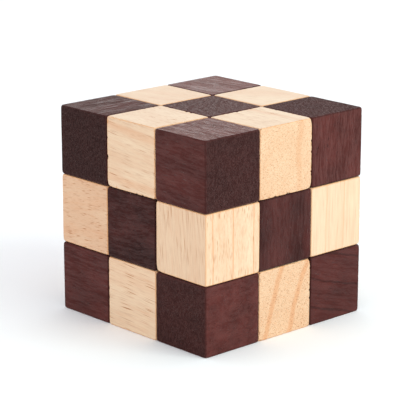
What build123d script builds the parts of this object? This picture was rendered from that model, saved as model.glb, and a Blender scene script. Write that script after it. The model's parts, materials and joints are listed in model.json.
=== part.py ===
"""A snake cube: twenty-seven wooden cubelets, dark and light in turn, threaded on one elastic cord and
folded into a cube three cubelets wide.

The cord runs through the cubelets in a fixed order. It leaves a straight cubelet by the face opposite the
one that it enters, and a corner cubelet by a face beside it. Each end of the cord is knotted in a pocket of
its end cubelet, behind a wooden plug. The folded chain fills the cube one layer at a time, so each cubelet
can be drawn along the cord, off the one before it, and each layer can swivel on the cord that joins it to
the next.

Millimetres. Z is up, and the origin is the middle of the cube's underside. The chain starts low at the
-X, -Y corner and ends high at the +X, +Y corner.
"""

import os

from build123d import *

# Cubelets
cubelet_side = 19.8
cubelet_gap = 0.2  # between the faces of neighbours
edge_round = 0.8

# Elastic cord, and its play in the bores
cord_diameter = 2.5
cord_play = 2.0
cord_bend_radius = 3.0  # of the cord's own line in a corner cubelet
mouth_chamfer = 0.4  # breaks the bore's sharp edge, which would wear the cord

# Knot and plug at each end of the cord
knot_turns = 2
knot_overhang = 0.1  # of the middle of the knot's turns beyond the bore's rim
knot_clearance = 0.4  # between the knot and its pocket, and between the knot and the plug
plug_thickness = 3.0
plug_round = 0.4
plug_recess = 0.1  # below the cubelet's face

# The cells that the cord visits, as columns, rows and layers of the cube, from its first end to its last
chain = [
    (0, 0, 0), (1, 0, 0), (2, 0, 0), (2, 1, 0), (1, 1, 0), (0, 1, 0), (0, 2, 0), (1, 2, 0), (2, 2, 0),
    (2, 2, 1), (2, 1, 1), (2, 0, 1), (1, 0, 1), (1, 1, 1), (1, 2, 1), (0, 2, 1), (0, 1, 1), (0, 0, 1),
    (0, 0, 2), (0, 1, 2), (0, 2, 2), (1, 2, 2), (1, 1, 2), (1, 0, 2), (2, 0, 2), (2, 1, 2), (2, 2, 2),
]  # fmt: skip

# The cubelet that the others are drawn away from, in the middle of the underside
still = 5
# The last cubelet of each layer that carries another layer on a swivel
swivel_after = (9, 18)

# Worked out from the sizes above
pitch = cubelet_side + cubelet_gap
half_side = cubelet_side / 2
cord_radius = cord_diameter / 2
bore_radius = (cord_diameter + cord_play) / 2
# Two bores at right angles break fully into each other when each runs past the middle by its own radius
bore_depth = half_side + bore_radius
turn_reach = bore_radius + knot_overhang
knot_length = knot_turns * cord_diameter
pocket_radius = turn_reach + cord_radius + knot_clearance
pocket_depth = plug_recess + plug_thickness + knot_clearance + knot_length
last = len(chain)


def centre_of(number):
    """The middle of a cubelet, counted along the cord from 1."""
    column, row, layer = chain[number - 1]
    return Vector((column - 1) * pitch, (row - 1) * pitch, half_side + layer * pitch)


def way(start, finish):
    """The direction from one cubelet's middle to another's."""
    return (centre_of(finish) - centre_of(start)).normalized()


def cord_ways(number):
    """The directions in which the cord leaves a cubelet, one for each of its neighbours along the cord."""
    return [way(number, other) for other in (number - 1, number + 1) if 1 <= other <= last]


def kind_of(number):
    """What a cubelet is called, by how the cord passes through it."""
    ways = cord_ways(number)
    if len(ways) == 1:
        return "end"
    return "corner" if abs(ways[0].dot(ways[1])) < 0.5 else "straight"


def straight_stop(number):
    """How far short of a cubelet's middle the straight cord to it stops. At an end it runs past the middle,
    to the floor of the knot's pocket."""
    if kind_of(number) == "end":
        return pocket_depth - half_side
    return cord_bend_radius if kind_of(number) == "corner" else 0


def face_plane(number, outward):
    """The plane of a cubelet's face, with its normal pointing out of the wood."""
    return Plane(origin=centre_of(number) + outward * half_side, z_dir=outward)


def make_cubelet(number):
    """A cubelet with its edges rounded over, a bore for the cord, and the knot's pocket if it is an end."""
    ways = cord_ways(number)
    with BuildPart() as cubelet:
        with Locations(centre_of(number)):
            Box(cubelet_side, cubelet_side, cubelet_side)
        fillet(cubelet.edges(), radius=edge_round)
        for outward in ways:
            with Locations(face_plane(number, outward)):
                CounterSinkHole(
                    radius=bore_radius,
                    counter_sink_radius=bore_radius + mouth_chamfer,
                    depth=bore_depth,
                    counter_sink_angle=90,
                )
        if kind_of(number) == "end":
            with Locations(face_plane(number, -ways[0])):
                CounterBoreHole(
                    radius=bore_radius,
                    counter_bore_radius=pocket_radius,
                    counter_bore_depth=pocket_depth,
                    depth=bore_depth,
                )
    return cubelet


def make_cord(start, along, straight, leave=None):
    """The cord from start, straight along for a length, then, if leave is given, round a bend to run that
    way. With no straight length it is the bend alone."""
    bend_start = start + along * straight
    with BuildPart() as cord:
        with BuildLine() as route:
            if straight > 0:
                Line(start, bend_start)
            if leave:
                TangentArc(bend_start, bend_start + (along + leave) * cord_bend_radius, tangent=along)
        with BuildSketch(Plane(origin=start, z_dir=along)):
            Circle(cord_radius)
        sweep(path=route.wire())
    return cord


def make_link(number):
    """The cord between a cubelet and the next, with its bend or end in the one of the two that is further
    from the still cubelet. A layer's swivel leaves the bend out, for make_swivel_bend."""
    held, moved = (number, number + 1) if number >= still else (number + 1, number)
    along = way(held, moved)
    start = centre_of(held) + along * straight_stop(held)
    straight = pitch - straight_stop(held) - straight_stop(moved)
    bends = kind_of(moved) == "corner" and number not in swivel_after
    return make_cord(start, along, straight, way(moved, 2 * moved - held) if bends else None)


def make_swivel_bend(number):
    """The bend of the cord in the first cubelet of a layer, which swivels on the straight cord below it."""
    along = way(number - 1, number)
    start = centre_of(number) - along * cord_bend_radius
    return make_cord(start, along, 0, way(number, number + 1))


def make_knot(number):
    """The cord's end, tied in turns that lie side by side, on the floor of its pocket."""
    outward = -cord_ways(number)[0]
    floor = centre_of(number) - outward * straight_stop(number)
    with BuildPart() as knot:
        with BuildSketch(Plane(origin=floor, x_dir=outward, z_dir=outward.cross(Vector(1, 1, 1)))):
            with Locations(*(((turn + 0.5) * cord_diameter, turn_reach) for turn in range(knot_turns))):
                Circle(cord_radius)
            Rectangle(knot_length - cord_radius, turn_reach, align=(Align.MIN, Align.MIN))
        revolve(axis=Axis(floor, outward))
    return knot


def make_plug(number):
    """A wooden plug, driven into the pocket over the knot."""
    outward = -cord_ways(number)[0]
    with BuildPart() as plug:
        with BuildSketch(face_plane(number, outward).offset(-plug_recess)):
            Circle(pocket_radius)
        extrude(amount=-plug_thickness)
        outer_rim = plug.faces().sort_by(Axis(centre_of(number), outward))[-1].edges()
        fillet(outer_rim, radius=plug_round)
    return plug


pieces = {}
for number in range(1, last + 1):
    pieces[f"cubelet_{number:02d}_{kind_of(number)}"] = make_cubelet(number)
for number in range(1, last):
    pieces[f"elastic_{number:02d}_{number + 1:02d}"] = make_link(number)
for number in swivel_after:
    pieces[f"elastic_bend_{number + 1:02d}"] = make_swivel_bend(number + 1)
for number in (1, last):
    pieces[f"end_knot_{number:02d}"] = make_knot(number)
    pieces[f"end_plug_{number:02d}"] = make_plug(number)

os.makedirs("parts", exist_ok=True)
for name, piece in pieces.items():
    piece.part.label = name
    export_step(piece.part, f"parts/{name}.step")
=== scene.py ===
"""Looks for a folded snake cube: dark and light wooden cubelets in turn on one elastic cord.

Every cubelet is its own worn block of wood, with its own grain, growth rings and seating in the cube. The
cord is a braid, its ends are knotted, and a dowel plug covers each knot. All lengths below are in
millimetres until a mesh is written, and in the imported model's frame.
"""

import json
import math
from collections import namedtuple
from itertools import product

import bmesh
import bpy
import numpy as np
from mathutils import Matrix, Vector

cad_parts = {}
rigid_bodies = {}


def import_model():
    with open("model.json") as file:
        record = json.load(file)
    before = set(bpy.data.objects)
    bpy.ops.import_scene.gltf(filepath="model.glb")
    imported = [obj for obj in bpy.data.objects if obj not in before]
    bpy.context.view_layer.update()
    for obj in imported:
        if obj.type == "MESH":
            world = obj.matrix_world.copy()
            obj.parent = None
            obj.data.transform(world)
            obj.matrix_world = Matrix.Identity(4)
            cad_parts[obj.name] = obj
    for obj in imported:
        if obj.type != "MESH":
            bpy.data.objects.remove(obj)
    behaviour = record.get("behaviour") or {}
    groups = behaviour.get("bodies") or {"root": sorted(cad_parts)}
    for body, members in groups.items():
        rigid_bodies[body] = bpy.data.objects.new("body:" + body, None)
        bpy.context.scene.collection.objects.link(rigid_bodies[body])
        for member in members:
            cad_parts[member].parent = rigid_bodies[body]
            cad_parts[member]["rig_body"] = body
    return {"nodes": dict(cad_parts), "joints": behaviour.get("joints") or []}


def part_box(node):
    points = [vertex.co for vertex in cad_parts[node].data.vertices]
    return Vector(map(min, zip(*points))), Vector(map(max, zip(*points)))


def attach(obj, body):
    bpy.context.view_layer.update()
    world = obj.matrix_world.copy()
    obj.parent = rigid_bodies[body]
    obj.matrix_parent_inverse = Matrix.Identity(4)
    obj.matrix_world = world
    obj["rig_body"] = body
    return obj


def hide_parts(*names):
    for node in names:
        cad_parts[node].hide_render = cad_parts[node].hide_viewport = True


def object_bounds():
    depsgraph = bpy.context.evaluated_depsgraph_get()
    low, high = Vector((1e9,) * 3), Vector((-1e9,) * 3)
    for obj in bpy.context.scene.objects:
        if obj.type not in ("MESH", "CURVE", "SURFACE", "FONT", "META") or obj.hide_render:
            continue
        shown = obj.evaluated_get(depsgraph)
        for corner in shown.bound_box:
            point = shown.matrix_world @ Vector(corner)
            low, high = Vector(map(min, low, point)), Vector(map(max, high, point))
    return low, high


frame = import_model()
cad_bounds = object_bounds()

MM = 0.001
UP = Vector((0, 0, 1))

# ---------------------------------------------------------------- sizes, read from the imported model


def box_mm(node):
    """A node's lowest and highest corners, in millimetres."""
    low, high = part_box(node)
    return np.array(low) / MM, np.array(high) / MM


def height_mm(node):
    """How far a node reaches from its lowest point to its highest, in millimetres."""
    low, high = box_mm(node)
    return high[2] - low[2]


CUBELETS = {int(name.split("_")[1]): name for name in sorted(frame["nodes"]) if name.startswith("cubelet_")}
BOXES = {number: box_mm(name) for number, name in CUBELETS.items()}
CENTRES = {number: (low + high) / 2 for number, (low, high) in BOXES.items()}
LAST = max(CUBELETS)
SIDE = BOXES[1][1][0] - BOXES[1][0][0]
PITCH = np.abs(CENTRES[2] - CENTRES[1]).max()
CUBE_TOP = max(high[2] for low, high in BOXES.values())
LOWEST, HIGHEST = (np.array(corner) / MM for corner in cad_bounds)
CORD_RADIUS = height_mm("elastic_02_03") / 2
PLUG_RADIUS = height_mm("end_plug_01") / 2
POCKET_DEPTH = box_mm("end_knot_01")[1][0] - BOXES[1][0][0]
BORE_RADIUS = 2.25
MOUTH_CHAMFER = 0.4  # of the bore's rim
BEND_RADIUS = 3.0  # of the cord's own line in a corner cubelet

# ---------------------------------------------------------------- camera

# A long lens, a little above the cube's top and square to neither of the near faces
CAMERA_AZIMUTH = 47.0
CAMERA_ELEVATION = 15.5
CAMERA_DISTANCE = 550.0
CAMERA_LENS = 168.0
AIM_RIGHT, AIM_UP = -0.84, 0.18  # of the cube's middle


def way_out(azimuth, elevation):
    """The direction from the cube to something that stands at an azimuth and elevation in degrees. An azimuth
    of 0 is the -Y side, and 90 is the +X side."""
    turn, rise = math.radians(azimuth), math.radians(elevation)
    return Vector((math.sin(turn), -math.cos(turn), 0)) * math.cos(rise) + UP * math.sin(rise)


def place_camera():
    """Stands the camera at its azimuth and elevation, and points it just beside the cube's middle."""
    back = way_out(CAMERA_AZIMUTH, CAMERA_ELEVATION)
    right = UP.cross(back).normalized()
    offset = right * AIM_RIGHT + back.cross(right) * AIM_UP
    middle = UP * CUBE_TOP / 2
    camera = bpy.data.objects.new("camera", bpy.data.cameras.new("camera"))
    camera.data.lens = CAMERA_LENS
    camera.data.clip_start = 0.01
    camera.location = (middle + offset + back * CAMERA_DISTANCE) * MM
    camera.rotation_euler = back.to_track_quat("Z", "Y").to_euler()
    bpy.context.scene.collection.objects.link(camera)
    bpy.context.scene.camera = camera


place_camera()

# ---------------------------------------------------------------- materials


def linear(hex_colour):
    """An sRGB hex colour as linear red, green, blue and alpha."""
    parts = [int(hex_colour[i : i + 2], 16) / 255 for i in (1, 3, 5)]
    return [c / 12.92 if c <= 0.04045 else ((c + 0.055) / 1.055) ** 2.4 for c in parts] + [1.0]


def add(tree, kind, inputs=None, out=0, **settings):
    """Adds a node with its settings. Each input takes a value, or another node's output as a link.
    Returns the chosen output."""
    node = tree.nodes.new("ShaderNode" + kind)
    for setting, value in settings.items():
        setattr(node, setting, value)
    for socket, value in (inputs or {}).items():
        if isinstance(value, bpy.types.NodeSocket):
            tree.links.new(value, node.inputs[socket])
        else:
            node.inputs[socket].default_value = value
    return node.outputs[out] if node.outputs else None


def new_material(name):
    """An empty material and its node tree."""
    material = bpy.data.materials.new(name)
    material.use_nodes = True
    material.node_tree.nodes.clear()
    return material, material.node_tree


def finish_material(tree, colour, roughness, height, bump_depth, ior, **others):
    """Ends a material in a Principled shader, with a bump of a real depth from a height of 0 to 1."""
    normal = add(tree, "Bump", {"Height": height, "Distance": bump_depth * MM, "Strength": 1.0})
    inputs = {"Base Color": colour, "Roughness": roughness, "Normal": normal, "IOR": ior}
    shader = add(tree, "BsdfPrincipled", inputs | others)
    add(tree, "OutputMaterial", {"Surface": shader})


# How a wood is finished. Its colours are those of a pale and a deep board, a growth ring's dark band, a
# coloured and a dark fibre (which is also a pore's), end grain, a worn edge and a bare bore. The coloured
# fibre's colour also paints the finest light flecks, which on the stained wood are painted glints. The worn
# edge's colour is wear, and on the clear wood partly a painted glow of light through the thin edge. Then come
# how far end grain takes its own colour, how strongly the finest fibres show, the sheen and its tint, the
# roughness of the high and the low fibres, the IOR, and the surface's relief in millimetres
Finish = namedtuple(
    "Finish",
    "pale deep band streak pore end arris raw end_mix grit sheen sheen_tint polished dull ior relief",
)

# How many marks of each kind there are to a millimetre along the grain, out from the pith and round it. The
# real fibres, 0.03 mm wide, and all but the widest pores are too fine to show. So the fibres are drawn in
# bundles 0.3 to 1.4 mm wide and 6 to 20 long, and the pores 0.2 mm across and 0.3 apart
WANDERS_PER_MM = (0.04, 0.07, 0.07)
FIBRES_PER_MM = (0.05, 0.7, 1.9)
FINE_FIBRES_PER_MM = (0.16, 1.8, 3.0)
FIGURES_PER_MM = (0.04, 0.16, 0.16)
PORES_PER_MM = (0.15, 3.3, 3.3)
PORE_CROWDS_PER_MM = (0.08, 0.3, 0.3)
WANDER = 1.2  # mm, square to the grain
RING_UNEVENNESS = 0.07  # as a share of the rings' spacing


def wood_material(name, finish):
    """Rubberwood, sawn, drilled and tumbled smooth. It reads four attributes: log, a point's place in the
    tree in millimetres, along the grain, out from the pith and round it; ring, the point's place among the
    growth rings, 1 to a ring, with how narrow and how strong their dark part is; board, how deep the
    cubelet's tone is and how strongly its pores and its fibres show; and surface, which is 1 in turn on
    end grain, on a worn edge and in a bore."""
    material, tree = new_material(name)
    log, ring, board, surface = (
        add(tree, "Attribute", out="Vector", attribute_name=attribute)
        for attribute in ("log", "ring", "board", "surface")
    )
    ring_place, ring_width, ring_strength = add(tree, "SeparateXYZ", {0: ring}).node.outputs
    tone, pore_strength, fibre_strength = add(tree, "SeparateXYZ", {0: board}).node.outputs
    end_grain, worn, bored = add(tree, "SeparateXYZ", {0: surface}).node.outputs

    # The grain wanders by about half a millimetre over a length of 25
    slow = add(tree, "VectorMath", {0: log, 1: WANDERS_PER_MM}, operation="MULTIPLY")
    wander = add(tree, "TexNoise", {"Vector": slow, "Scale": 1.0, "Detail": 2.0}, out="Color")
    centred = add(tree, "VectorMath", {0: wander, 1: (0.5, 0.5, 0.5)}, operation="SUBTRACT")
    shift = add(tree, "VectorMath", {0: centred, 1: (0.0, WANDER, WANDER)}, operation="MULTIPLY")
    grain = add(tree, "VectorMath", {0: log, 1: shift}, operation="ADD")

    # Growth rings, a little uneven: each ring's dark band is the crest of a cosine wave
    uneven = add(tree, "TexNoise", {"Vector": slow, "Scale": 1.7, "Detail": 1.0})
    uneven_share = add(tree, "MapRange", {0: uneven, 3: -RING_UNEVENNESS, 4: RING_UNEVENNESS})
    uneven_ring = add(tree, "Math", {0: uneven_share, 1: ring_place}, operation="ADD")
    ring_angle = add(tree, "Math", {0: uneven_ring, 1: 2 * math.pi}, operation="MULTIPLY")
    wave = add(tree, "Math", {0: ring_angle}, operation="COSINE")
    band_share = add(tree, "MapRange", {0: wave, 1: ring_width, 2: 1.0}, interpolation_type="SMOOTHSTEP")
    band = add(tree, "Math", {0: band_share, 1: ring_strength}, operation="MULTIPLY")

    # Long bundles of fibres, finer ones between them, and the slow figure of light and dark that crosses
    # both. On end grain the bundles are drawn out along the wood's rays
    long_lie = add(tree, "VectorMath", {0: grain, 1: FIBRES_PER_MM}, operation="MULTIPLY")
    fibres = add(tree, "TexNoise", {"Vector": long_lie, "Scale": 1.0, "Detail": 3.0, "Roughness": 0.65})
    fine_lie = add(tree, "VectorMath", {0: grain, 1: FINE_FIBRES_PER_MM}, operation="MULTIPLY")
    fine = add(tree, "TexNoise", {"Vector": fine_lie, "Scale": 1.0, "Detail": 2.0, "Roughness": 0.7})
    figure_lie = add(tree, "VectorMath", {0: grain, 1: FIGURES_PER_MM}, operation="MULTIPLY")
    figure = add(tree, "TexNoise", {"Vector": figure_lie, "Scale": 1.0, "Detail": 3.0})

    # Pores: vessels that the saw cuts lengthwise into dashes and crosswise into dots. Each is a spot in the
    # middle of its own cell, and open in some cells only. They crowd together in some parts of the wood
    pore_lie = add(tree, "VectorMath", {0: grain, 1: PORES_PER_MM}, operation="MULTIPLY")
    from_pore = add(tree, "TexVoronoi", {"Vector": pore_lie, "Scale": 1.0, "Randomness": 1.0})
    cell = add(tree, "SeparateXYZ", {0: from_pore.node.outputs["Color"]}, out="X")
    spot = add(tree, "MapRange", {0: from_pore, 1: 0.4, 2: 0.12}, interpolation_type="SMOOTHSTEP")
    open_cell = add(tree, "MapRange", {0: cell, 1: 0.25, 2: 0.9})
    crowd_lie = add(tree, "VectorMath", {0: grain, 1: PORE_CROWDS_PER_MM}, operation="MULTIPLY")
    crowd = add(tree, "TexNoise", {"Vector": crowd_lie, "Scale": 1.0, "Detail": 2.0})
    crowding = add(tree, "MapRange", {0: crowd, 1: 0.35, 2: 0.6, 3: 0.25, 4: 1.0})
    dash = add(tree, "Math", {0: spot, 1: open_cell}, operation="MULTIPLY")
    crowded_dash = add(tree, "Math", {0: dash, 1: crowding}, operation="MULTIPLY")
    pore = add(tree, "Math", {0: crowded_dash, 1: pore_strength}, operation="MULTIPLY")

    # How strongly the fibres show: the long bundles less on end grain, and the fine ones more
    streaks_by_side = add(tree, "MapRange", {0: end_grain, 3: 1.0, 4: 0.5})
    streaks = add(tree, "Math", {0: fibre_strength, 1: streaks_by_side}, operation="MULTIPLY")
    grit_by_side = add(tree, "MapRange", {0: end_grain, 3: fibre_strength, 4: 1.0})
    grit = add(tree, "Math", {0: grit_by_side, 1: finish.grit}, operation="MULTIPLY")

    # Each layer of colour lies over the ones before it, by its share
    mottled = add(tree, "MapRange", {0: figure, 1: 0.3, 2: 0.7, 3: -0.2, 4: 0.2})
    depth = add(tree, "Math", {0: tone, 1: mottled}, operation="ADD", use_clamp=True)
    soaked = add(tree, "Math", {0: end_grain, 1: finish.end_mix}, operation="MULTIPLY")
    streaked = add(tree, "MapRange", {0: fibres, 1: 0.45, 2: 0.8, 4: streaks})
    # Light flecks of the finest fibres: on the clear wood a darker fibre colour, on the stained wood painted
    # glints, specks lighter than the stain
    fibre_flecks_and_painted_glints = add(tree, "MapRange", {0: fine, 1: 0.5, 2: 0.8, 4: grit})
    dark_grit = add(tree, "MapRange", {0: fine, 1: 0.5, 2: 0.2, 4: grit})
    # The edge strip's tint: wear, and on the clear wood partly a painted glow of light through the thin edge
    edge_wear_and_painted_glow = add(tree, "Math", {0: worn, 1: 0.6}, operation="MULTIPLY")
    colour = linear(finish.pale)
    # Some layers are painted light: the stained wood's light flecks are painted glints, and the clear wood's
    # warm edge is partly a painted glow
    for share, over in [
        (depth, finish.deep),
        (band, finish.band),
        (soaked, finish.end),
        (streaked, finish.streak),
        (fibre_flecks_and_painted_glints, finish.streak),
        (dark_grit, finish.pore),
        (pore, finish.pore),
        (edge_wear_and_painted_glow, finish.arris),
        (bored, finish.raw),
    ]:
        colour = add(tree, "Mix", {0: share, 6: colour, 7: linear(over)}, out=2, data_type="RGBA")

    # The high fibres are polished, and the low ones, end grain and open pores stay dull
    ridge = add(tree, "Math", {0: fibres, 1: fine}, operation="ADD")
    side_rough = add(tree, "MapRange", {0: ridge, 1: 0.88, 2: 1.12, 3: finish.dull, 4: finish.polished})
    end_rough = add(tree, "Math", {0: end_grain, 1: 0.15, 2: side_rough}, operation="MULTIPLY_ADD")
    rough = add(tree, "Math", {0: pore, 1: 0.5, 2: end_rough}, operation="MULTIPLY_ADD", use_clamp=True)
    height = add(tree, "Math", {0: crowded_dash, 1: -1.5, 2: ridge}, operation="MULTIPLY_ADD")

    # The sheen is light that the ends of the fibres catch at a low angle
    sheen = {"Sheen Weight": finish.sheen, "Sheen Tint": linear(finish.sheen_tint), "Sheen Roughness": 0.3}
    finish_material(tree, colour, rough, height, finish.relief, finish.ior, **sheen)
    return material


# Clear-sealed rubberwood: straw to pinkish beige, with tan bands and brown pores, warm where an edge is worn,
# partly from the wear and partly as a painted glow of light through the thin edge. The sealer fills the
# grain, which gives an even satin surface with hardly any relief
NATURAL = Finish(
    pale="#f0d7b7", deep="#deb592", band="#da9462", streak="#d08e5e", pore="#ac6432", end="#d9a877",
    arris="#e29a58", raw="#cba072", end_mix=0.3, grit=1.3, sheen=0.0, sheen_tint="#ffffff", polished=0.3,
    dull=0.4, ior=1.42, relief=0.015,
)  # fmt: skip
# The same wood under a dark red-brown spirit stain, which end grain soaks up until it is nearly black. The
# stain leaves a thin open film that fills nothing. From above it looks flat and deep. At a low angle it turns
# a warm grey, with a sparkle where a high fibre is polished and its neighbours are dull. Its finest light
# flecks, a little lighter than the stain, are painted glints
STAINED = Finish(
    pale="#66332f", deep="#391f1d", band="#241514", streak="#734540", pore="#1a0e0d", end="#271716",
    arris="#40201e", raw="#4a2d22", end_mix=0.7, grit=0.25, sheen=0.24, sheen_tint="#f0c8c0", polished=0.1,
    dull=1.0, ior=1.17, relief=0.07,
)  # fmt: skip
# The stain is buffed more on some cubelets than on others. A harder rub raises more sheen, and hardly any
# leaves even the high fibres rough
STAIN_BY_BUFF = {
    "dull": STAINED._replace(sheen=0.12, polished=0.27),
    "satin": STAINED,
    "buffed": STAINED._replace(sheen=0.57),
}


def braid_material():
    """Cotton braid over a rubber core: off-white yarns, with shade in the valleys between them. The lint, a
    quarter of a millimetre across, takes all shine off it."""
    material, tree = new_material("cotton_braid_over_rubber")
    valley = add(tree, "Attribute", out="Fac", attribute_name="valley")
    place = add(tree, "TexCoord", out="Object")
    lint = add(tree, "TexNoise", {"Vector": place, "Scale": 4000.0, "Detail": 2.0})
    colour = linear("#efe9dc")
    for share, over in [(lint, "#d9cfbb"), (valley, "#8f8470")]:
        colour = add(tree, "Mix", {0: share, 6: colour, 7: linear(over)}, out=2, data_type="RGBA")
    roughness = add(tree, "MapRange", {0: lint, 3: 0.75, 4: 0.95})
    finish_material(tree, colour, roughness, lint, bump_depth=0.02, ior=1.5)
    return material


def paper_material():
    """Matt white paper, uncoated, a shade warm: it shows soft shade and no reflection."""
    material, tree = new_material("matt_white_paper")
    shader = add(tree, "BsdfPrincipled", {"Base Color": linear("#fcfaf8"), "Roughness": 0.9})
    add(tree, "OutputMaterial", {"Surface": shader})
    return material


natural_wood = wood_material("rubberwood_clear_sealed", NATURAL)
stained_woods = {
    buff: wood_material("rubberwood_dark_stained_" + buff, finish) for buff, finish in STAIN_BY_BUFF.items()
}
braid = braid_material()

# ---------------------------------------------------------------- mesh helpers


def unit(vectors):
    """Vectors at length 1, along the last axis."""
    return vectors / np.linalg.norm(vectors, axis=-1, keepdims=True)


def grid_quads(rows, columns, start=0):
    """The quads of a grid whose columns close into rings, numbered from start."""
    row, column = np.meshgrid(np.arange(rows - 1), np.arange(columns), indexing="ij")
    following = (column + 1) % columns
    here, there = start + row * columns, start + (row + 1) * columns
    return np.stack([here + column, here + following, there + following, there + column], -1).reshape(-1, 4)


def make_piece(name, points, quads, material, body, replaced, attributes=None):
    """Writes points in millimetres and their quads to a smooth mesh, merges what coincides, and sets it
    riding on its body in place of its CAD node."""
    mesh = bpy.data.meshes.new(name)
    mesh.from_pydata((points * MM).tolist(), [], quads.tolist())
    for attribute, values in (attributes or {}).items():
        kind, field = ("FLOAT_VECTOR", "vector") if values.ndim == 2 else ("FLOAT", "value")
        layer = mesh.attributes.new(attribute, kind, "POINT")
        layer.data.foreach_set(field, values.astype(np.float32).ravel())
    work = bmesh.new()
    work.from_mesh(mesh)
    bmesh.ops.remove_doubles(work, verts=work.verts, dist=0.002 * MM)
    work.to_mesh(mesh)
    work.free()
    mesh.shade_smooth()
    mesh.materials.append(material)
    piece = bpy.data.objects.new(name, mesh)
    bpy.context.scene.collection.objects.link(piece)
    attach(piece, body)
    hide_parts(replaced)


def ripple(points, seed, wavelength, waves=7):
    """A smooth random height at each point, about -1 to 1: a sum of sine waves in random directions, each
    about one wavelength long."""
    rng = np.random.default_rng(seed)
    directions = unit(rng.normal(size=(waves, 3))) * rng.uniform(0.6, 1.5, (waves, 1))
    phases = rng.uniform(0, 2 * math.pi, waves)
    return np.sin(points @ directions.T * 2 * math.pi / wavelength + phases).sum(-1) / math.sqrt(waves * 1.5)


def body_of(node):
    """The name of the body that a CAD node rides on."""
    return frame["nodes"][node]["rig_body"]


# ---------------------------------------------------------------- cubelets

# What a cubelet was sawn from and what became of it: the way of its grain; the pith's place from its middle;
# a point on the dark crest of a growth ring, and the rings' spacing, narrowness and strength; its depth of
# tone; how strongly its pores and its fibres show; how long the pores are, as a multiple of the usual; how
# chipped its edges are; which of its corners are blunt; and how its stain was buffed
Board = namedtuple(
    "Board",
    "grain pith crest spacing narrow bands tone pores fibres length chips blunt buff",
    defaults=[(0, 0, 0), 8.0, 0.2, 0.1, 0.4, 0.5, 0.3, 1.0, 0.2, (), "satin"],
)

# The cubelets in sight, by column, row and layer
BOARDS = {
    (0, 0, 0): Board((1, 0, -0.03), (0, 60, 90), tone=0.57, pores=0.3, fibres=0.3, length=0.5),
    (1, 0, 0): Board((1, 0, -0.05), (0, 90, 30), tone=0.25, bands=0.15, pores=1.5, length=1.2, chips=0.5),
    (2, 0, 0): Board((0, 1, 0.02), (0, 0, 90), tone=0.45, pores=0.4, fibres=0.35, length=0.15, chips=0.1),
    (2, 1, 0): Board(
        (1, 0.05, 0), (0, 95, -34), (9.9, -4.75, 0), 8.9, 0.65, 0.6, 0.3, 1.0, chips=1.8, blunt=[(1, 1, 1)]
    ),
    (2, 2, 0): Board((0, 1, -0.3), (30, 0, -60), (9.9, -9.9, -4.5), 7.6, 0.94, 0.45, 0.6, 0.2, 0.12, 0.5),
    (0, 0, 1): Board((1, 0, 0.1), (0, 20, 70), tone=0.95, bands=0.15, pores=1.4, length=0.5),
    (1, 0, 1): Board((1, 0.02, 0.05), (0, 30, -60), (0, -9.9, -8), 22, 0, 0.5, 0.9, 0.15, 0.2, 0.4),
    (2, 0, 1): Board(
        (-0.09, -0.02, 1), (0, 80, 0), (9.9, -7.5, 0), 7.5, 0.97, 0.6, 0.52, 1.0, 0.35, 1.4,
        blunt=[(-1, -1, -1)],
    ),
    (2, 1, 1): Board((0, 0.05, 1), (40, 80, 0), (9.9, 4.5, 0), 15, -0.2, 0.4, 0.75, 0.2, 0.2, 0.4),
    (2, 2, 1): Board((0, 0.02, 1), (60, -50, 0), (9.9, -4, 0), 5, 0.95, 0.3, 0.4, 0.5, 0.3, 2.2),
    (0, 0, 2): Board((0.05, 1, 0), (0, 0, -90), tone=0.95, bands=0.1, pores=0.8, fibres=0.3, chips=0.3),
    (1, 0, 2): Board(
        (1, 0, -0.09), (0, -30, -90), (0, -9.9, 7), 14, 0.8, 0.3, 0.4, 0.8, 0.28, chips=2.2,
        blunt=[(-1, -1, -1)],
    ),
    (2, 0, 2): Board((1, 0, -0.05), (0, 0, 90), tone=0.6, pores=0.3, fibres=0.35, length=0.5, buff="buffed"),
    (0, 1, 2): Board((1, 0.3, 0), (0, 60, 60), tone=0.4, pores=0.3, chips=0.3),
    (1, 1, 2): Board((0.05, 0, 1), (60, 50, 0), tone=0.25, pores=1.0, fibres=0.5),
    (2, 1, 2): Board(
        (1, 0.03, 0), (0, 95, 0), (9.9, 5, 0), 16, 0.85, 0.28, 0.3, 1.0, chips=2.4,
        blunt=[(1, 1, 1), (1, 1, -1)],
    ),
    (0, 2, 2): Board((1, 0.2, 0), (0, 60, 60), tone=0.55, pores=0.3, fibres=0.2, buff="buffed"),
    (1, 2, 2): Board((1, 0.5, 0), (0, 40, -70), tone=0.2, bands=0.15, pores=0.4),
    (2, 2, 2): Board(
        (0, 0.04, 1), (70, -30, 0), tone=0.5, bands=0.15, pores=0.4, fibres=0.6, length=0.3, buff="dull"
    ),
}  # fmt: skip

# How far a cubelet sits from the middle of its cell, where the chain leaves a gap or closes one
SEATING = {
    (0, 0, 0): (0.06, 0.06, 0), (1, 0, 0): (0.02, 0.06, 0), (2, 0, 0): (-0.06, 0.05, 0),
    (2, 1, 0): (-0.04, -0.06, 0), (2, 2, 0): (-0.06, -0.01, 0), (0, 0, 1): (0.08, 0.06, 0),
    (1, 0, 1): (-0.12, 0.06, -0.08), (2, 0, 1): (0.11, 0.06, 0.04), (2, 1, 1): (-0.05, 0.02, 0),
    (2, 2, 1): (-0.06, -0.08, 0), (0, 0, 2): (0.03, 0.08, -0.08), (1, 0, 2): (0.07, 0.05, 0.02),
    (2, 0, 2): (-0.03, 0.05, -0.08), (2, 1, 2): (-0.05, -0.06, -0.08), (2, 2, 2): (-0.06, -0.04, -0.08),
}  # fmt: skip
SEAT_LIMIT = 0.08  # of a cubelet out of sight, towards the middle of the cube
TURN_LIMIT = 0.15  # degrees, of a cubelet in its cell
SIDE_LOSS = 0.06  # taken off the nominal side by sanding

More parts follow.
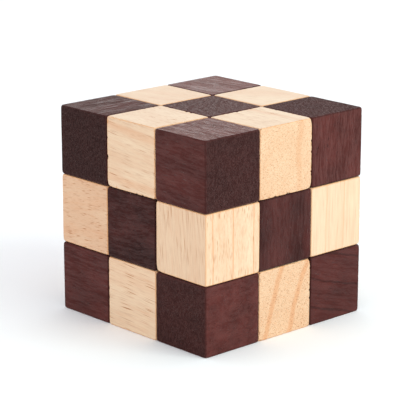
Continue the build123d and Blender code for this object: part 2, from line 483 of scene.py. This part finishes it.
EDGE_RADIUS = 0.27
EDGE_UNEVENNESS = 0.12  # of the radius, as a share of it
EDGE_WAVELENGTH = 9.0
CHIP_WAVELENGTH = 1.5
CHIP_LEVEL = 0.45  # a chip starts where a ripple of about -1 to 1 rises past this
CHIP_RISE = 0.6  # the most that counts above that level
CHIP_SWELL = 0.8
CORNER_RADIUS = 0.55
BLUNT_RADIUS = 0.95
CORNER_REACH = 1.3  # of a rounded corner along its edges, in radii
SMALLEST_RADIUS = 0.2
EDGE_ZONE = 1.2  # the width from an edge within which wear can reach
# The strip's warm tint is wear, and on the clear wood partly a painted glow of light through the thin edge
WORN_WIDTH = 0.22  # of the strip by an edge that hands have rubbed warm
OUTER_DEPTH = 0.35  # within which wood counts as belonging to a side, for its grain
FACE_MARGIN = 0.3  # between the worn zone and the flat of a side
LOG_STEP = 90  # along the log between one cubelet's wood and the next one's
CHIP_SEED, TURN_SEED, SEAT_SEED = 100, 500, 900

# Where the rings of a side's mesh lie: from its edge inwards through the worn zone, and as shares of the way
# in to its middle, over to an opening's rim, down a pocket's wall and down a bore's
STEPS_IN_ZONE = np.array([0, 0.07, 0.15, 0.24, 0.34, 0.46, 0.62, 0.84, 1.0]) * EDGE_ZONE
STEPS_BETWEEN = 44
SHARES_TO_MIDDLE = (1, 0.72, 0.4, 0)
SHARES_TO_RIM = (0, 0.3, 0.6, 0.85, 1)
SHARES_DOWN_POCKET = (0.01, 0.35, 0.7, 0.99, 1)
SHARES_DOWN_BORE = (0, 0.1, 0.4, 0.7, 0.9, 1)


def cell_of(number):
    """A cubelet's column, row and layer."""
    return tuple(int(round(c / PITCH)) for c in CENTRES[number] - CENTRES[1])


def cord_ways(number):
    """The directions in which the cord leaves a cubelet."""
    neighbours = [other for other in (number - 1, number + 1) if other in CENTRES]
    return [np.rint((CENTRES[other] - CENTRES[number]) / PITCH) for other in neighbours]


def board_of(number):
    """The cubelet's board from the table, or for one out of sight a board chosen at random, by its number."""
    if cell_of(number) in BOARDS:
        return BOARDS[cell_of(number)]
    rng = np.random.default_rng(number)
    grain = np.eye(3)[rng.integers(3)] + rng.normal(0, 0.05, 3)
    spacing, narrow, bands, tone, pores = rng.uniform((6, 0.1, 0.1, 0.2, 0.4), (14, 0.8, 0.5, 0.6, 1.0))
    return Board(grain, rng.normal(0, 60, 3), rng.uniform(-8, 8, 3), spacing, narrow, bands, tone, pores)


def square_outline(half):
    """The points round a square of side 2, at the same places on each side, closest near its corners."""
    near = half - STEPS_IN_ZONE
    middle = np.linspace(near[-1], -near[-1], STEPS_BETWEEN + 1)[1:-1]
    side = -np.concatenate([near, middle, -near[::-1]])[:-1] / half
    edge = np.ones_like(side)
    return np.concatenate(
        [np.stack(pair, -1) for pair in ((side, -edge), (edge, side), (-side, edge), (-edge, -side))]
    )


def worn_skin(points, half, seed, board):
    """Rounds a sharp block over: each point is pulled towards the nearest point of a smaller block, to one
    radius from it. The radius grows towards the corners, wanders along the edges, and swells where the edge
    has lost a chip."""
    radius = EDGE_RADIUS * (1 + EDGE_UNEVENNESS * ripple(points, seed, EDGE_WAVELENGTH))
    chip = np.clip(ripple(points, seed + CHIP_SEED, CHIP_WAVELENGTH) - CHIP_LEVEL, 0, CHIP_RISE)
    radius += chip * CHIP_SWELL * board.chips
    for corner in product((-1, 1), repeat=3):
        blunt = BLUNT_RADIUS if corner in board.blunt else CORNER_RADIUS
        from_corner = np.linalg.norm(np.array(corner) * half - points, axis=-1)
        radius += (blunt - EDGE_RADIUS) * np.exp(-((from_corner / (CORNER_REACH * blunt)) ** 2))
    reach = half - np.clip(radius, SMALLEST_RADIUS, EDGE_ZONE)[:, None]
    core = np.clip(points, -reach, reach)
    return core + unit(points - core) * (half - reach)


def cubelet_side(outward, half, opening, ways):
    """One side of a cubelet, as rings from its edge inwards: squares that shrink through the worn zone, then
    either down to a point, or over to the rim of a bore or pocket and down its wall. Returns the rings'
    points and which of them are bored."""
    tangent = np.roll(outward, 1) * outward.sum()
    across = np.cross(outward, tangent)
    outline = square_outline(half)
    flat_axes = np.stack([tangent, across])
    square = outline @ flat_axes
    circle = unit(outline) @ flat_axes
    face = outward * half
    shrinking = [square * size + face for size in half - STEPS_IN_ZONE]
    inner_square = square * (half - EDGE_ZONE - FACE_MARGIN)
    if not opening:
        shrinking += [inner_square * share + face for share in SHARES_TO_MIDDLE]
        return np.array(shrinking), np.zeros(len(shrinking))
    rim = PLUG_RADIUS if opening == "pocket" else BORE_RADIUS + MOUTH_CHAMFER
    shrinking += [inner_square * (1 - share) + circle * rim * share + face for share in SHARES_TO_RIM]
    if opening == "pocket":
        floor = face - outward * POCKET_DEPTH
        walls = [circle * rim + face + (floor - face) * share for share in SHARES_DOWN_POCKET]
        walls += [circle * radius + floor for radius in (0.8 * rim, BORE_RADIUS)]
    else:
        throat = face - outward * MOUTH_CHAMFER
        wall = circle * BORE_RADIUS
        # A bore ends where it meets the other one: on the plane that halves the angle between them
        others = [way for way in ways if abs(way @ outward) < 0.5]
        if len(ways) == 1:
            stop = outward * (POCKET_DEPTH - half)
        else:
            stop = outward * (wall @ others[0])[:, None] if others else 0 * outward
        walls = [wall + throat + (stop - throat) * share for share in SHARES_DOWN_BORE]
    bored = [0] * len(shrinking) + [1] * len(walls)
    return np.array(shrinking + walls), np.array(bored)


def grain_frame(board):
    """Unit vectors along the grain, out from the pith and round it, and the distance to the pith."""
    grain = unit(np.array(board.grain, float))
    pith = np.array(board.pith, float)
    pith -= grain * (pith @ grain)
    outwards = -unit(pith)
    return grain, outwards, np.cross(grain, outwards), np.linalg.norm(pith)


def from_pith(points, board):
    """How far points are from the tree's pith, square to the grain."""
    grain, outwards, around, distance = grain_frame(board)
    return np.hypot(points @ outwards + distance, points @ around)


def small_turn(number, limit):
    """A rotation matrix, each of whose three small angles is at most limit degrees."""
    x, y, z = np.radians(np.random.default_rng(number + TURN_SEED).uniform(-limit, limit, 3))
    return np.array([[1, -z, y], [z, 1, -x], [-y, x, 1]])


def sharp_cubelet(number, half):
    """A cubelet before any wear, as six sides welded at their edges, with its bores. Returns its points and
    quads, and which points are bored."""
    ways = cord_ways(number)
    points, quads, bored, start = [], [], [], 0
    for outward in (sign * axis for axis in np.eye(3) for sign in (1, -1)):
        opening = "bore" if any(np.array_equal(outward, way) for way in ways) else None
        if len(ways) == 1 and np.array_equal(outward, -ways[0]):
            opening = "pocket"
        rings, in_bore = cubelet_side(outward, half, opening, ways)
        count, around = rings.shape[:2]
        points.append(rings.reshape(-1, 3))
        bored.append(np.repeat(in_bore, around))
        quads.append(grid_quads(count, around, start))
        start += count * around
    return np.concatenate(points), np.concatenate(quads), np.concatenate(bored)


def wood_attributes(points, bored, half, number, board):
    """What the wood material reads at each point of a cubelet. The rings are circles round the pith, counted
    from the board's crest. The edge's tint, which is wear and on the clear wood partly painted light, fades
    as a bell curve with the distance from the edge, and end grain is the square of how nearly the side faces
    along the grain."""
    skin = bored == 0
    grain, outwards, around, distance = grain_frame(board)
    along = (points @ grain) / board.length + LOG_STEP * number
    log = np.stack([along, points @ outwards + distance, points @ around], -1)
    rings_out = (from_pith(points, board) - from_pith(np.array(board.crest, float), board)) / board.spacing
    from_edge = half - np.sort(np.abs(points), axis=-1)[:, 1]
    worn = np.exp(-((from_edge / WORN_WIDTH) ** 2)) * skin
    outer = (np.abs(points) > half - OUTER_DEPTH) * np.sign(points)
    end_grain = np.abs(unit(outer + 1e-9) @ grain) ** 2 * skin
    return {
        "log": log,
        "ring": np.stack([rings_out, *np.tile([[board.narrow], [board.bands]], len(points))], -1),
        "board": np.tile([board.tone, board.pores, board.fibres], (len(points), 1)),
        "surface": np.stack([end_grain, worn, bored], -1),
    }


def seated(points, number):
    """A cubelet's points in its cell, slightly askew, and inside both the cell and the cube's own bounds. The
    bottom layer stands on the floor."""
    cell = cell_of(number)
    rng = np.random.default_rng(number + SEAT_SEED)
    inward = np.sign(1 - np.array(cell))
    seat = np.array(SEATING.get(cell, inward * rng.uniform(0, SEAT_LIMIT, 3)))
    middle = CENTRES[number]
    low, high = middle - PITCH / 2, middle + PITCH / 2
    turned = points @ small_turn(number, TURN_LIMIT).T
    placed = np.clip(turned + middle + seat, np.maximum(low, LOWEST), np.minimum(high, HIGHEST))
    if cell[2] == 0:
        placed[:, 2] -= placed[:, 2].min()
    return placed


def make_cubelet(number):
    """A cubelet, bored, worn and set in its cell. Along the cord every other one is stained."""
    half = (SIDE - SIDE_LOSS) / 2
    board = board_of(number)
    dark = number % 2 == 1
    points, quads, bored = sharp_cubelet(number, half)
    attributes = wood_attributes(points, bored, half, number, board)
    skin = bored == 0
    points[skin] = worn_skin(points[skin], half, number, board)
    make_piece(
        f"cubelet_{number:02d}_worn",
        seated(points, number),
        quads,
        stained_woods[board.buff] if dark else natural_wood,
        body_of(CUBELETS[number]),
        CUBELETS[number],
        attributes,
    )


for number in CUBELETS:
    make_cubelet(number)

# ---------------------------------------------------------------- cord, knots and plugs

YARNS = 12  # that turn each way round the braid
BRAID_PITCH = 7.0  # along the cord, for a yarn's full turn
BRAID_RELIEF = 0.16
CORD_STEP = 0.2  # between the rings of the cord's mesh
CORD_SIDES = 60
END_GAP = 0.01
KNOT_THINNING = 0.8  # of the cord in a knot, as a share of its own thickness
PLUG_EASE = 0.35
PLUG_DOME = 0.06
PLUG_PLAY = 0.02
PLUG_FROM_PITH = 22
PLUG_LOG_STEP = 40
PLUG_RING_SPACING = 3
PLUG_SIDES = 96


def along_path(path, tangents, radius_at):
    """A tube: rings round a path's points, square to its tangents, at the radius that a function gives for
    the angle and the distance along. Each ring's frame is the last one's, turned no more than it must be.
    Both ends close to a point, a hair short of the path's ends, so that two lengths never rub."""
    path = path.copy()
    path[0] += END_GAP * tangents[0]
    path[-1] -= END_GAP * tangents[-1]
    lengths = np.concatenate([[0], np.cumsum(np.linalg.norm(np.diff(path, axis=0), axis=1))])
    sides = [unit(np.cross(tangents[0], [0.31, 0.57, 0.76]))]
    for tangent in tangents[1:]:
        sides.append(unit(sides[-1] - tangent * (sides[-1] @ tangent)))
    sides = np.array(sides)
    others = np.cross(tangents, sides)
    angle = np.linspace(0, 2 * math.pi, CORD_SIDES, endpoint=False)
    radius, valley = radius_at(angle[None, :], lengths[:, None])
    spoke = np.cos(angle)[None, :, None] * sides[:, None] + np.sin(angle)[None, :, None] * others[:, None]
    rings = path[:, None] + radius[..., None] * spoke
    first, last = (np.repeat(end[None], CORD_SIDES, 1) for end in (path[:1], path[-1:]))
    rings = np.concatenate([first, rings, last])
    valley = np.concatenate([valley[:1], valley, valley[-1:]])
    return rings.reshape(-1, 3), grid_quads(len(rings), CORD_SIDES), valley.ravel()


def braided(angle, along):
    """The braid's radius and its valleys: two sets of yarns wind round the cord in opposite ways, and the
    surface is the higher of the two, each the crest of a sine wave."""
    turn = 2 * math.pi * along / BRAID_PITCH
    one = np.abs(np.sin((YARNS * angle + YARNS * turn) / 2))
    other = np.abs(np.sin((YARNS * angle - YARNS * turn) / 2))
    crest = np.maximum(one, other)
    return CORD_RADIUS - BRAID_RELIEF * (1 - crest), np.clip((1 - crest) * 2.2, 0, 1) ** 1.5


def cord_path(start, along, straight, leave=None):
    """Points along the cord's line and their tangents: straight from start, then, if leave is given, a
    quarter of a circle from the direction along to the direction leave."""
    count = max(2, round(straight / CORD_STEP) + 1) if straight > 0 else 1
    travel = np.linspace(0, straight, count)[:, None]
    points, tangents = start + travel * along, np.repeat(along[None], count, 0)
    if leave is None:
        return points, tangents
    turn = np.linspace(0, math.pi / 2, 25)[1:, None]
    bend = points[-1] + BEND_RADIUS * (np.sin(turn) * along + (1 - np.cos(turn)) * leave)
    bend_tangents = np.cos(turn) * along + np.sin(turn) * leave
    return np.concatenate([points, bend]), np.concatenate([tangents, bend_tangents])


def straight_stop(number):
    """How far short of a cubelet's middle the straight cord to it stops. Through an end it runs past the
    middle, to the floor of the knot's pocket."""
    ways = cord_ways(number)
    if len(ways) == 1:
        return POCKET_DEPTH - SIDE / 2
    return BEND_RADIUS if abs(ways[0] @ ways[1]) < 0.5 else 0.0


def make_cord(name, start, along, straight, leave):
    """One length of the braided elastic, in place of its plain CAD node."""
    path, tangents = cord_path(start, along, straight, leave)
    points, quads, valley = along_path(path, tangents, braided)
    make_piece(name + "_braid", points, quads, braid, body_of(name), name, {"valley": valley})


def make_cords():
    """A length for each pair of neighbours, from the cubelet that holds it to the one that it moves with, and
    the bends that the swivelling layers keep to themselves."""
    for number in range(1, LAST):
        name = f"elastic_{number:02d}_{number + 1:02d}"
        joint = next(j for j in frame["joints"] if j["name"] == f"pull_{number:02d}_{number + 1:02d}")
        along = np.array(joint["axis"], float)
        forward = along @ (CENTRES[number + 1] - CENTRES[number]) > 0
        held, moved = (number, number + 1) if forward else (number + 1, number)
        start = CENTRES[held] + along * straight_stop(held)
        straight = PITCH - straight_stop(held) - straight_stop(moved)
        onward = [way for way in cord_ways(moved) if abs(way @ along) < 0.5]
        swivels = f"elastic_bend_{moved:02d}" in frame["nodes"]
        make_cord(name, start, along, straight, onward[0] if onward and not swivels else None)
        if swivels:
            bend_start = CENTRES[moved] - along * BEND_RADIUS
            make_cord(f"elastic_bend_{moved:02d}", bend_start, along, 0, onward[0])


def tight_braid(angle, along):
    """The braid's radius and its valleys where the pull of a knot has drawn both smaller."""
    return tuple(value * KNOT_THINNING for value in braided(angle, along))


def make_knot(number):
    """The tied end of the cord: a trefoil, whose x is sin t + 2 sin 2t, whose y is cos t - 2 cos 2t and whose
    z is -sin 3t, drawn up until the cord fills its middle, inside the knot's CAD node."""
    name = f"end_knot_{number:02d}"
    outward = -cord_ways(number)[0]
    low, high = box_mm(name)
    middle, size = (low + high) / 2, high - low
    t = np.linspace(0, 2 * math.pi, 241)
    flat = np.stack([np.sin(t) + 2 * np.sin(2 * t), np.cos(t) - 2 * np.cos(2 * t), -np.sin(3 * t)], -1)
    thickness = CORD_RADIUS * KNOT_THINNING
    across = unit(np.cross(outward, [0.0, 0.0, 1.0]))
    upward = np.cross(outward, across)
    room = np.array([size.max() / 2 - thickness, size.max() / 2 - thickness, size.min() / 2 - thickness])
    shape = flat / np.array([3.0, 3.0, 1.0]) * room
    axes = np.stack([across, upward, outward])
    path = middle + shape @ axes
    tangents = unit(np.gradient(path, axis=0))
    points, quads, valley = along_path(path, tangents, tight_braid)
    make_piece(name + "_tied", points, quads, braid, body_of(name), name, {"valley": valley})


def make_plug(number):
    """A dowel plug, its end grain showing. Its outline, turned round its own line, is straight up to the rim,
    a quarter of a circle over it, and nearly flat across the end, slightly domed by sanding."""
    name = f"end_plug_{number:02d}"
    outward = -cord_ways(number)[0]
    low, high = box_mm(name)
    middle, size = (low + high) / 2, high - low
    radius, half_length = size.max() / 2 - PLUG_PLAY, size.min() / 2
    eased_from = half_length - PLUG_EASE - PLUG_DOME
    arc = np.linspace(0, math.pi / 2, 9)
    rim_radius = (radius - PLUG_EASE) + PLUG_EASE * np.cos(arc)
    rim_height = eased_from + PLUG_EASE * np.sin(arc)
    profile_radius = np.concatenate([[0, radius * 0.9, radius], rim_radius, [radius * 0.5, 0]])
    profile_height = np.concatenate([[-half_length] * 3, rim_height, [half_length - 0.01, half_length]])
    across = unit(np.cross(outward, [0.0, 0.0, 1.0]))
    upward = np.cross(outward, across)
    angle = np.linspace(0, 2 * math.pi, PLUG_SIDES, endpoint=False)
    spoke = np.cos(angle)[:, None] * across + np.sin(angle)[:, None] * upward
    rings = middle + profile_radius[:, None, None] * spoke + profile_height[:, None, None] * outward
    points = rings.reshape(-1, 3)
    local = points - middle
    along = local @ outward + PLUG_LOG_STEP * number
    log = np.stack([along, local @ across - PLUG_FROM_PITH, local @ upward], -1)
    on_end = np.repeat(profile_height > eased_from, PLUG_SIDES).astype(float)
    nothing = np.zeros_like(on_end)
    make_piece(
        name + "_dowel",
        points,
        grid_quads(len(rings), PLUG_SIDES),
        stained_woods["satin"],
        body_of(name),
        name,
        {
            "log": log,
            "ring": np.stack([log[:, 1] / PLUG_RING_SPACING, nothing + 0.3, nothing + 0.3], -1),
            "board": np.tile([0.1, 0.8, 0.4], (len(points), 1)),
            "surface": np.stack([on_end * 0.7, nothing, nothing], -1),
        },
    )


make_cords()
for number in (1, LAST):
    make_knot(number)
    make_plug(number)

# ---------------------------------------------------------------- floor and light

FLOOR_HALF = 4000.0


def make_floor():
    """A wide sheet of white paper under the cube."""
    corners = np.array([(-1, -1, 0), (1, -1, 0), (1, 1, 0), (-1, 1, 0)]) * FLOOR_HALF
    mesh = bpy.data.meshes.new("paper_floor")
    mesh.from_pydata((corners * MM).tolist(), [], [(0, 1, 2, 3)])
    mesh.materials.append(paper_material())
    floor = bpy.data.objects.new("paper_floor", mesh)
    bpy.context.scene.collection.objects.link(floor)


def make_light(name, colour, azimuth, elevation, distance, size, watts):
    """A square soft box that faces the cube, in millimetres and watts."""
    back = way_out(azimuth, elevation)
    light = bpy.data.lights.new(name, "AREA")
    light.size = size * MM
    light.energy = watts
    light.color = colour
    holder = bpy.data.objects.new(name, light)
    holder.location = (UP * CUBE_TOP / 2 + back * distance) * MM
    holder.rotation_euler = back.to_track_quat("Z", "Y").to_euler()
    bpy.context.scene.collection.objects.link(holder)


# The white surround's linear colour, level with the cube and straight above it
HORIZON = (1.12, 1.11, 1.09, 1.0)
ZENITH = (0.92, 0.98, 1.07, 1.0)
SOFT_BOX = (0.83, 1.0, 0.96)


def light_studio():
    """White light from all round, a little cooler and dimmer overhead, with one soft box to the right that
    brings out the near right-hand face."""
    world = bpy.data.worlds.new("white_studio")
    bpy.context.scene.world = world
    world.use_nodes = True
    tree = world.node_tree
    direction = add(tree, "TexCoord", out="Generated")
    upwards = add(tree, "SeparateXYZ", {0: direction}, out="Z")
    sky = add(tree, "Mix", {0: upwards, 6: HORIZON, 7: ZENITH}, out=2, data_type="RGBA")
    tree.links.new(sky, tree.nodes["Background"].inputs["Color"])
    make_light("soft_box_right", SOFT_BOX, azimuth=105, elevation=32, distance=900, size=500, watts=3.6)
    bpy.context.scene.view_settings.view_transform = "Standard"


make_floor()
light_studio()
